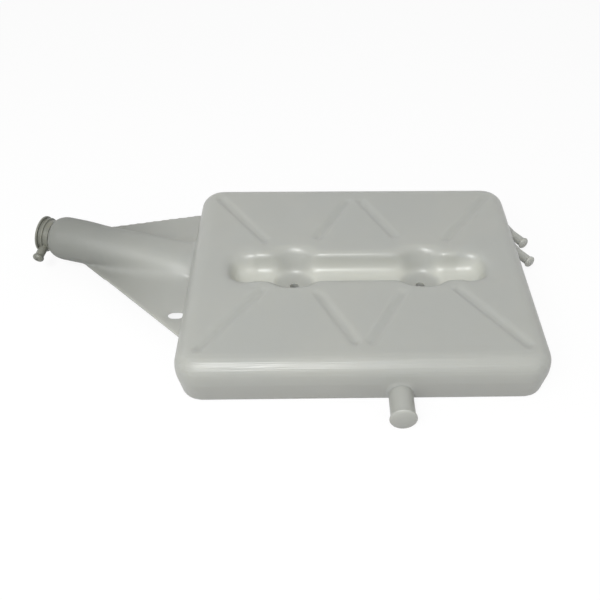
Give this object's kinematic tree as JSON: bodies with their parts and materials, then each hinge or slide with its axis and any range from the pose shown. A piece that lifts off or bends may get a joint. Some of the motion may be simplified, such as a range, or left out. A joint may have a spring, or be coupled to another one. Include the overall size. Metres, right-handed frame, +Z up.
{
  "type": "coolant expansion tank",
  "caption": "Flat blow-moulded coolant expansion tank with a long side filler neck, cap collar, hose tails and dished bolt seats.",
  "frame": {"origin": "on the flat underside, midway between the two bolt holes", "axes": "+X away from the filler neck toward the side hose tails, +Y away from the front hose tail, +Z up out of the dished top"},
  "size_m": [0.5352, 0.3198, 0.0589],
  "materials": {
    "milky_plastic": "translucent off-white moulding with a soft sheen",
    "straw_plastic": "satin, straw tinted moulding"
  },
  "bodies": {
    "root": {"tank_body": "milky_plastic", "filler_collar": "straw_plastic"}
  },
  "joints": []
}
